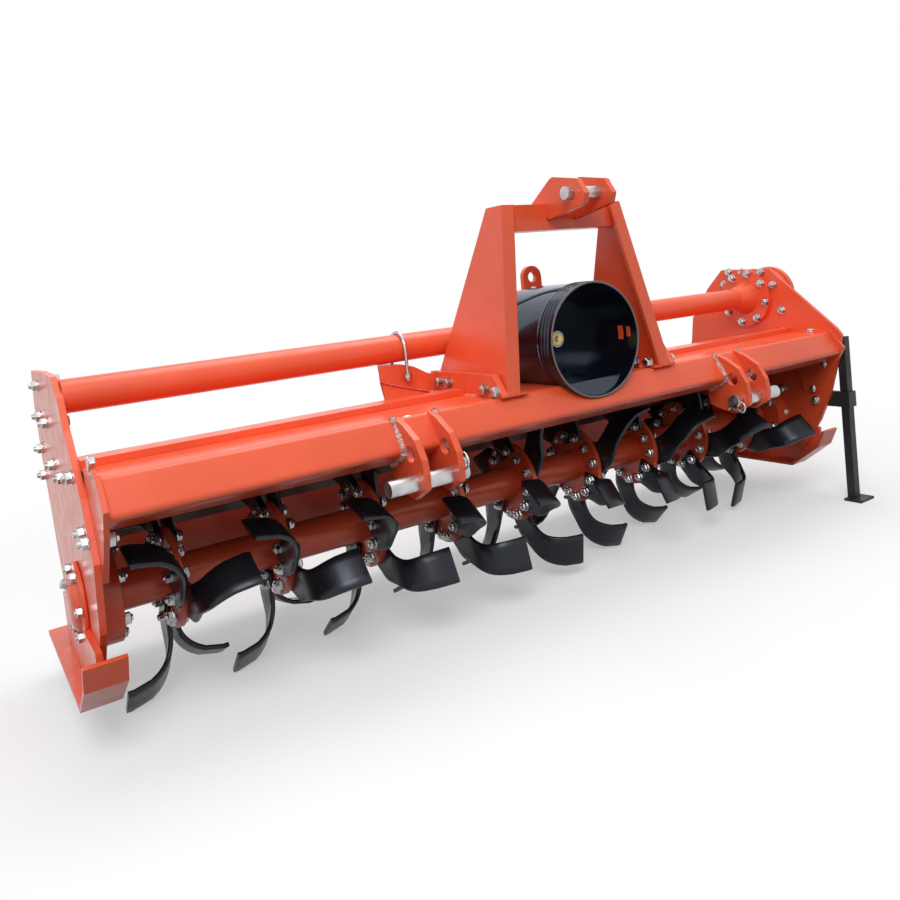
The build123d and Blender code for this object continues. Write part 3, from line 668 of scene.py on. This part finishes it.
class ROTAVATOR_OT_plate_bolts(bpy.types.Operator):
    """Bolts and nuts on both side plates, and on the mast brackets"""
    bl_idname = "rotavator.plate_bolts"
    bl_label = "Side plate bolts"

    def execute(self, context):
        flats = sizes().plate_bolt
        tail = 0.003
        left, right = (-1, 0, 0), (1, 0, 0)
        put_bolts("right_plate_bolts", [nuts(at_x(PLATE_RIGHT_IN, RIGHT_PLATE_BOLTS), left, flats, tail)])
        put_bolts("left_plate_nuts", [nuts(at_x(PLATE_LEFT_OUT, LEFT_PLATE_NUTS), left, flats, 0.005)])
        put_bolts("left_plate_heads", [nuts(at_x(PLATE_LEFT_IN, LEFT_PLATE_HEADS), right, flats)])
        put_bolts("beam_end_nut", [nuts(spot(BEAM_END_BOLT), right, flats * 1.15, 0.004)])
        put_bolts("mast_base_bolts", [
            nuts(at_x(low("mast_base_left")[0], BASE_BOLTS), left, flats * 1.05, turn=0.3),
            nuts(at_x(low("mast_base_right")[0], BASE_BOLTS), left, flats * 1.05, turn=0.5),
            nuts(at_x(high("mast_base_right")[0], BASE_BOLTS), right, flats * 1.05),
        ])
        flange = bolt_circle(PLATE_RIGHT_IN - TUBE_FLANGE_THICKNESS * MM, *TUBE_FLANGE_BOLTS, TUBE_MIDDLE)
        put_bolts("tube_flange_bolts", [nuts(flange, left, flats, tail)])
        put_bolts("housing_bolts", [
            nuts(bolt_circle(high("bearing_left")[0], *HOUSING_BOLTS), right, flats, tail),
            nuts(bolt_circle(low("bearing_right")[0], *HOUSING_BOLTS), left, flats, tail),
        ])
        return {"FINISHED"}


class ROTAVATOR_OT_blades(bpy.types.Operator):
    """Smoothly bent blades of the same sizes as the solids, with eased edges"""
    bl_idname = "rotavator.blades"
    bl_label = "Tilling blades"

    def execute(self, context):
        grid = self.one_blade()
        rows, columns = grid.shape[:2]
        faces = grid_faces(rows, columns)
        flange_x = FIRST_FLANGE + FLANGE_PITCH * np.arange(len(BLADE_TURNS))
        table = np.array(BLADE_TURNS, float)
        for hand, column, node in ((-1, 0, "blades_left_hand"), (1, 1, "blades_right_hand")):
            turn = np.radians(table[:, column][:, None] + np.array([0, 120, 240.0])).reshape(-1, 1, 1)
            x = np.repeat(flange_x, 3)[:, None, None] + hand * (FLANGE_FACE + grid[None, ..., 0])
            y = grid[None, ..., 1] * np.cos(turn) - grid[None, ..., 2] * np.sin(turn)
            z = grid[None, ..., 1] * np.sin(turn) + grid[None, ..., 2] * np.cos(turn)
            points = spot(np.stack([x, y, z], -1).reshape(-1, 3))
            start = np.arange(len(turn))[:, None, None] * rows * columns
            all_faces = (faces[None] + start).reshape(-1, 4)
            piece = put(node + "_smooth", points, all_faces, "blade_black", "rotor", sharp=50)
            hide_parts(node)
        return {"FINISHED"}

    def one_blade(self):
        """A sheet bent round a cylinder. A point of the outline has a depth = -y sin(turn) - z cos(turn).
        Where the depth is past the start of the bend, its share of the bend's radius is the sine of the bend
        angle there, sideways = radius x (1 - cosine), and the sheet's thickness is laid along (cosine,
        -sine) in sideways and depth."""
        lead = smooth_path(BLADE_LEAD, 26)
        trail = smooth_path(BLADE_TRAIL, 26)
        section = np.array(BLADE_SECTION)
        wide, deep = section[:, 0], section[:, 1]
        side = lead[:, None] + (trail - lead)[:, None] * wide[None, :, None]
        turn = math.radians(BLADE_BEND_TURN)
        down = np.array([-math.sin(turn), -math.cos(turn)])
        depth = side @ down
        begin = BLADE_TIP * math.cos(turn) - BLADE_BEND_OUTER
        sine = np.clip((depth - begin) / BLADE_BEND_OUTER, 0, 1)
        cosine = np.sqrt(1 - sine**2)
        thick = SHANK_THICKNESS * deep[None, :]
        across = BLADE_BEND_OUTER * (1 - cosine) + thick * cosine
        flat = side - (thick * sine)[..., None] * down
        grid = np.concatenate([across[..., None], flat], -1)
        end = np.repeat(grid[-1:], 2, 0)
        end[0, :, 0] = 0.5 * (grid[-1, :, 0] + BLADE_REACH)
        end[1, :, 0] = BLADE_REACH
        return closed_ends(np.concatenate([grid, end]))


class ROTAVATOR_OT_blade_bolts(bpy.types.Operator):
    """Nuts on the left face of every blade flange, and heads on the right"""
    bl_idname = "rotavator.blade_bolts"
    bl_label = "Blade bolts"

    def execute(self, context):
        blade_turn = np.array(BLADE_TURNS, float)
        flange_x = MIDDLE_X + (FIRST_FLANGE + FLANGE_PITCH * np.arange(len(blade_turn))) * MM
        bolt_turn = blade_turn[:, :1] + FIRST_BOLT_TURN + np.arange(FLANGE_BOLTS) * 360 / FLANGE_BOLTS
        y = AXIS_Y + FLANGE_BOLT_RADIUS * MM * np.sin(np.radians(bolt_turn))
        z = AXIS_Z - FLANGE_BOLT_RADIUS * MM * np.cos(np.radians(bolt_turn))
        rows = []
        for hand, way in ((0, -1), (1, 1)):
            # Where a bolt falls on a blade's shank, its nut stands on the blade; elsewhere on the flange.
            past = np.radians(np.mod(bolt_turn - blade_turn[:, hand:hand + 1] + 12, 120) - 12)
            reach = FLANGE_BOLT_RADIUS * np.sin(past)
            on_blade = (reach > -BOLT_REACH) & (reach < SHANK_WIDTH + BOLT_REACH) & (np.degrees(past) < 75)
            lift = FLANGE_FACE + np.where(on_blade, SHANK_THICKNESS, 0.0)
            places = np.stack([flange_x[:, None] + way * lift * MM, y, z], -1).reshape(-1, 3)
            rows.append(nuts(places, (way, 0, 0), sizes().blade_bolt, end=0.003 if way < 0 else 0))
        put_bolts("blade_bolts", rows, "rotor")
        return {"FINISHED"}


class ROTAVATOR_OT_hitch_fittings(bpy.types.Operator):
    """Clips and ring on the hitch pins, the tube's clamp and saddle, and the bolt between the left cheeks"""
    bl_idname = "rotavator.hitch_fittings"
    bl_label = "Hitch fittings"

    def execute(self, context):
        wire = sizes().clip_wire
        clip = np.array(CLIP) * (CLIP_SCALE, -1)
        rows = []
        for x, y, z, turn in CLIPS:
            c, s = math.cos(math.radians(turn)), math.sin(math.radians(turn))
            path = np.column_stack([np.full(len(clip), x), y + clip @ (c, -s), z + clip @ (s, c)])
            rows.append(rod(smooth_path(spot(path), 90), wire, (1, 0, 0), 8))
        # The left pin is kept by a ring: a circle of wire through the ear of a short round peg.
        y, z, radius = PEG_RING
        turn = np.radians(np.linspace(0, 360, 49))
        circle = np.column_stack([np.full(len(turn), PIN_PEG[0]),
                                  y + radius * np.cos(turn), z + radius * np.sin(turn)])
        rows.append(rod(spot(circle), wire, (1, 0, 0), 8))
        peg = np.array(PEG_PROFILE) * MM
        rows.append(turned(peg, spot(PIN_PEG), (0, -0.35, 0.94), np.zeros(len(peg)), 16))
        put_bolts("spring_clips", rows, sharp=60)
        # The clamp goes up one side of the tube, round over it and down the other side.
        y, z = TUBE_MIDDLE
        radius = TUBE_RADIUS + CLAMP_WIRE
        arc = np.radians(np.linspace(180, 0, 25))
        over = np.column_stack([y + radius * np.cos(arc), z + radius * np.sin(arc)])
        legs = np.linspace(0, 1, 5)[:, None]
        front = np.array([y - radius, CLAMP_FOOT]) + legs * np.array([0, z - CLAMP_FOOT])
        rear = np.array([y + radius, z]) + legs * np.array([0, CLAMP_FOOT - z])
        line = np.concatenate([front[:-1], over, rear[1:]])
        path = spot(np.column_stack([np.full(len(line), CLAMP_X), line]))
        put_bolts("tube_clamp", [rod(path, CLAMP_WIRE * MM, (1, 0, 0), 10)], sharp=60)
        self.saddle()
        ends = spot([(CLAMP_X, y + side * radius, CLAMP_FOOT + 9) for side in (-1, 1)])
        put_bolts("clamp_nuts", [nuts(ends, (0, 0, -1), 0.015, 0.005),
                                 nuts(spot(CHEEK_BOLT), (0, -0.75, 0.66), 0.024)])
        return {"FINISHED"}

    def saddle(self):
        """The tube's saddle: a bent web below the tube, its top turned to a shelf for the clamp's ends.
        Each column is the same folded section, its top edge falling along the run from the outer end."""
        x = np.linspace(SADDLE_TOP[0][0], SADDLE_TOP[-1][0], 15)
        top, fold, lean, shelf = (np.interp(x, *np.transpose(table))
                                  for table in (SADDLE_TOP, SADDLE_FOLD, SADDLE_LEAN, SADDLE_SHELF))
        web, sheet = SADDLE_WEB, SADDLE_SHEET
        section = (
            (web - lean, SADDLE_FOOT), (web - 0.5 * lean, 0.5 * (fold + SADDLE_FOOT)), (web, fold),
            (web - 0.6, top - 2), (web + 0.8, top), (web + shelf, top), (web + shelf, top - sheet),
            (web + sheet, top - sheet), (web + sheet, fold), (web + sheet - lean, SADDLE_FOOT),
        )
        grid = closed_ends(np.stack([np.stack(np.broadcast_arrays(x, y, z), -1) for y, z in section], 1))
        put("tube_saddle", spot(grid), grid_faces(*grid.shape[:2]), "red_paint", "base")


class ROTAVATOR_OT_beam_skin(bpy.types.Operator):
    """The rounded skin that carries the deck's edge down over the front beam"""
    bl_idname = "rotavator.beam_skin"
    bl_label = "Beam skin"

    def execute(self, context):
        section = np.array(BEAM_SKIN, float)
        grid = closed_ends(np.stack([np.column_stack([np.full(len(section), x), section])
                                     for x in (-BEAM_SKIN_HALF, BEAM_SKIN_HALF)]))
        put("beam_skin", spot(grid), grid_faces(*grid.shape[:2]), "red_paint", "base")
        return {"FINISHED"}


class ROTAVATOR_OT_welds(bpy.types.Operator):
    """Weld beads at the clevises, the mast brackets and the tube's saddle"""
    bl_idname = "rotavator.welds"
    bl_label = "Welds"

    def execute(self, context):
        bead = sizes().weld
        skin = np.array(BEAM_SKIN, float)[1:11]
        rows = []
        line = smooth_path(side_view(skin), 70)
        t = np.linspace(0, 1, len(line))
        ripple = bead * 1.5 * (1 + 0.20 * np.sin(t * 95) + 0.12 * np.sin(t * 41 + 1.0))
        for cheek in ("clevis_left", "clevis_right"):
            for x in (low(cheek)[0] - bead * 0.4, high(cheek)[0] + bead * 0.4):
                rows.append(rod(np.column_stack([np.full(len(line), x), line]), ripple, (1, 0, 0), 10))
        put("clevis_welds", *joined(rows), "weld_bright", "base", "red_paint", 70)
        rows = [weld_bead(*spot(ends), bead * 0.8, (1, 0, 0.1)) for ends in BRACKET_WELDS]
        put("bracket_welds", *joined(rows), "weld_red", "base", "red_paint", 70)
        return {"FINISHED"}


class ROTAVATOR_OT_guard_trim(bpy.types.Operator):
    """Pressed ribs, rolled mouth edge, strap and sight slots of the shaft guard, and the shaft's end"""
    bl_idname = "rotavator.guard_trim"
    bl_label = "Guard trim"

    def execute(self, context):
        x = HITCH_X
        centre = np.array([x, AXIS_Y, INPUT_Z])
        y = np.linspace(*GUARD_RIBS, 90)
        swell = 0.5 - 0.5 * np.cos(2 * math.pi * (y - GUARD_RIBS[0]) / RIB_PITCH)
        wave = GUARD_RADIUS + 0.25 + RIB_HEIGHT * swell ** 1.5
        levels = np.concatenate([y, y[-1:], y[:1], y[:1]])
        radii = np.concatenate([wave, [GUARD_RADIUS - 0.2, GUARD_RADIUS - 0.2], wave[:1]])
        ribs = ring_round_y(AXIS_Y + levels * MM, radii * MM, x, INPUT_Z, 120)
        put("guard_ribs", *ribs, "guard_black", "base")
        self.liner()
        # The rolled edge is grey: a painted highlight along the guard's mouth.
        turn = np.linspace(0, 2 * math.pi, 13)
        rolled = ring_round_y(AXIS_Y + (GUARD_FRONT + 1.2 * np.sin(turn)) * MM,
                              (GUARD_RADIUS - 0.6 + 2.0 * np.cos(turn)) * MM, x, INPUT_Z, 120)
        put("guard_mouth_edge", *rolled, "rim_painted_highlight_grey", "base", "guard_black")
        # The strap follows the guard's skin while its angle and its distance rearward change together.
        share, angle, back = np.transpose(GUARD_STRAP)
        t = np.linspace(0, 1, 40)
        angle, back = np.radians(np.interp(t, share, angle)), np.interp(t, share, back)
        section = []
        for side, lift in ((-1, -0.5), (-1, 1.6), (1, 1.6), (1, -0.5)):
            edge = angle + side * STRAP_HALF / GUARD_RADIUS
            section.append(self.on_guard(GUARD_RADIUS + lift, edge, back))
        grid = closed_ends(np.stack(section, 1))
        points = grid.reshape(-1, 3) + centre
        put("guard_strap", points, grid_faces(*grid.shape[:2]), "stand_black", "base", "guard_black")
        rows = []
        inside = GUARD_RADIUS - GUARD_SHEET
        for start, end, front, rear in SIGHT_SLOTS:
            around = np.radians(np.linspace(start, end, 10))
            near, far = inside - 0.9, inside + 0.5
            corners = ((near, front), (near, rear), (far, rear), (far, front))
            patch = np.stack([self.on_guard(radius, around, level) for radius, level in corners], 1)
            patch = closed_ends(patch)
            rows.append((patch.reshape(-1, 3) + centre, grid_faces(*patch.shape[:2])))
        put("sight_slots", *joined(rows), "red_paint", "base")
        behind, radii = np.transpose(SHAFT_FACE) * MM
        face = ring_round_y(low("input_shaft")[1] + behind, radii, x, INPUT_Z, 36)
        put("shaft_end", *face, "yellow_zinc", "base", "galvanised")
        return {"FINISHED"}

    def on_guard(self, radius, angle, back):
        """Places round the guard's axis, in metres from it: across = radius x cosine, up = radius x sine."""
        across, up = radius * np.cos(angle), radius * np.sin(angle)
        return np.stack(np.broadcast_arrays(across, back, up), -1) * MM

    def liner(self):
        """The guard's inner sheet: a round sleeve whose height is nowhere less than that of the beam's skin
        and the deck below it, so that it lies over both."""
        back = np.concatenate([[-251.5], np.linspace(-250, -224, 14), [-200, -150, -100, -74]])
        beam = ((-256.6, 178), (-254.6, 184.4), (-230.4, 224.6), (-228.6, 227.6), (-225.5, DECK_TOP))
        bottom = np.interp(back, *np.transpose(beam)) + 1.4
        around = np.arange(120) * 2 * math.pi / 120
        sheets = []
        inside = GUARD_RADIUS - GUARD_SHEET
        for radius, lift in ((inside - 0.3, 0.5), (inside - 0.1, 0.0)):
            height = radius * np.sin(around)[None, :] + (INPUT_Z - AXIS_Z) / MM
            height = np.maximum(height, bottom[:, None] + lift)
            across = np.broadcast_to(radius * np.cos(around), height.shape)
            deep = np.broadcast_to(back[:, None], height.shape)
            sheets.append(np.stack([across, deep, height], -1))
        grid = np.concatenate([sheets[0], sheets[1][::-1], sheets[0][:1]])
        points = grid.reshape(-1, 3) * MM + np.array([HITCH_X, AXIS_Y, AXIS_Z])
        put("guard_liner", points, grid_faces(len(grid), 120), "guard_black", "base")


class ROTAVATOR_OT_bearing_dome(bpy.types.Operator):
    """The left bearing's outer cover: a bolted flange with a domed cap"""
    bl_idname = "rotavator.bearing_dome"
    bl_label = "Bearing cover"

    def execute(self, context):
        start = high("bearing_cover")[0]
        profile = np.array(DOME) * MM
        body = turned(profile, (start, AXIS_Y, AXIS_Z), (-1, 0, 0), np.zeros(len(profile)), 72)
        cover = put("domed_cover", *body, "red_paint", "base")
        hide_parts("bearing_cover")
        fitting = (start - 0.0195, AXIS_Y + 0.004, AXIS_Z + 0.032)
        round_dome = bolt_circle(start - 0.0078, *COVER_BOLTS)
        put_bolts("cover_bolts", [nuts(round_dome, (-1, 0, 0), 0.0145, 0.002),
                                  nuts(fitting, (-1, 0, 0.35), 0.013)])
        put("stand_bolts", *nuts(spot(STAND_BOLTS), (1, 0, 0), 0.016, 0.003), "stand_black", "base")
        return {"FINISHED"}


class ROTAVATOR_OT_stage(bpy.types.Operator):
    """Floor, lights, world and camera"""
    bl_idname = "rotavator.stage"
    bl_label = "Studio"

    def execute(self, context):
        angle = np.arange(64) * 2 * math.pi / 64
        radii = np.array([0.0, 1.0, 3.0, 30.0])
        ring = radii[:, None, None] * np.column_stack([np.cos(angle), np.sin(angle), np.zeros(64)])
        ring[..., 2] = -0.0004
        mesh = bpy.data.meshes.new("floor")
        mesh.from_pydata(ring.reshape(-1, 3).tolist(), [], grid_faces(4, 64).tolist())
        floor = bpy.data.objects.new("floor", mesh)
        context.scene.collection.objects.link(floor)
        mesh.materials.append(floor_material(paint().floor))
        work = bmesh.new()
        work.from_mesh(mesh)
        bmesh.ops.remove_doubles(work, verts=work.verts, dist=1e-6)
        work.to_mesh(mesh)
        work.free()
        world = bpy.data.worlds.new("studio_world")
        context.scene.world = world
        world.use_nodes = True
        tree = world.node_tree
        tree.nodes.clear()
        sky = add(tree, "ShaderNodeBackground", Strength=0.55)
        sky.inputs["Color"].default_value = (0.92, 0.95, 1.0, 1)
        white = add(tree, "ShaderNodeBackground", Strength=1.0)
        white.inputs["Color"].default_value = (1, 1, 1, 1)
        mix = add(tree, "ShaderNodeMixShader")
        tree.links.new(seen_directly(tree, add(tree, "ShaderNodeLightPath")), mix.inputs["Fac"])
        tree.links.new(sky.outputs["Background"], mix.inputs[1])
        tree.links.new(white.outputs["Background"], mix.inputs[2])
        out = add(tree, "ShaderNodeOutputWorld")
        tree.links.new(mix.outputs["Shader"], out.inputs["Surface"])
        for lamp in LAMPS:
            self.lamp(*lamp)
        self.camera(context)
        return {"FINISHED"}

    def lamp(self, name, place, power, size):
        """A soft disk of light, aimed at the machine."""
        light = bpy.data.lights.new(name, "AREA")
        light.energy = power
        light.shape = "DISK"
        light.size = size
        lamp = bpy.data.objects.new(name, light)
        bpy.context.scene.collection.objects.link(lamp)
        lamp.location = place
        lamp.rotation_euler = (Vector(LAMP_TARGET) - Vector(place)).to_track_quat("-Z", "Y").to_euler()

    def camera(self, context):
        """The view from ahead of the left side plate."""
        view = bpy.data.cameras.new("view")
        view.lens = EYE_LENS
        view.sensor_width = 36.0
        view.shift_x, view.shift_y = EYE_SHIFT
        view.clip_end = 200
        camera = bpy.data.objects.new("view", view)
        context.scene.collection.objects.link(camera)
        camera.location = spot(EYE)[0]
        camera.rotation_euler = np.radians(EYE_TURN)
        context.view_layer.update()
        context.scene.camera = camera
        context.scene.view_settings.view_transform = "Standard"


class ROTAVATOR_PT_panel(bpy.types.Panel):
    """Pieces of the rotavator"""
    bl_idname = "ROTAVATOR_PT_panel"
    bl_label = "Rotavator"
    bl_space_type = "VIEW_3D"
    bl_region_type = "UI"
    bl_category = "Rotavator"

    def draw(self, context):
        for group in (context.scene.rotavator_paint, context.scene.rotavator_sizes):
            box = self.layout.box()
            for key in group.bl_rna.properties.keys():
                if key not in ("rna_type", "name"):
                    box.prop(group, key)
        for operator in OPERATORS:
            self.layout.operator(operator.bl_idname)


OPERATORS = (
    ROTAVATOR_OT_paint_frame,
    ROTAVATOR_OT_plate_bolts,
    ROTAVATOR_OT_blades,
    ROTAVATOR_OT_blade_bolts,
    ROTAVATOR_OT_hitch_fittings,
    ROTAVATOR_OT_beam_skin,
    ROTAVATOR_OT_welds,
    ROTAVATOR_OT_guard_trim,
    ROTAVATOR_OT_bearing_dome,
    ROTAVATOR_OT_stage,
)
CLASSES = (RotavatorPaint, RotavatorSizes) + OPERATORS + (ROTAVATOR_PT_panel,)


def register():
    """Make the panel's groups and operators known to Blender."""
    for item in CLASSES:
        bpy.utils.register_class(item)
    bpy.types.Scene.rotavator_paint = bpy.props.PointerProperty(type=RotavatorPaint)
    bpy.types.Scene.rotavator_sizes = bpy.props.PointerProperty(type=RotavatorSizes)


def unregister():
    """Take them away again."""
    del bpy.types.Scene.rotavator_paint
    del bpy.types.Scene.rotavator_sizes
    for item in reversed(CLASSES):
        bpy.utils.unregister_class(item)


def main():
    """Dress the frame piece by piece."""
    register()
    bpy.ops.rotavator.paint_frame()
    bpy.ops.rotavator.plate_bolts()
    bpy.ops.rotavator.blades()
    bpy.ops.rotavator.blade_bolts()
    bpy.ops.rotavator.hitch_fittings()
    bpy.ops.rotavator.beam_skin()
    bpy.ops.rotavator.welds()
    bpy.ops.rotavator.guard_trim()
    bpy.ops.rotavator.bearing_dome()
    bpy.ops.rotavator.stage()


if __name__ == "__main__":
    main()
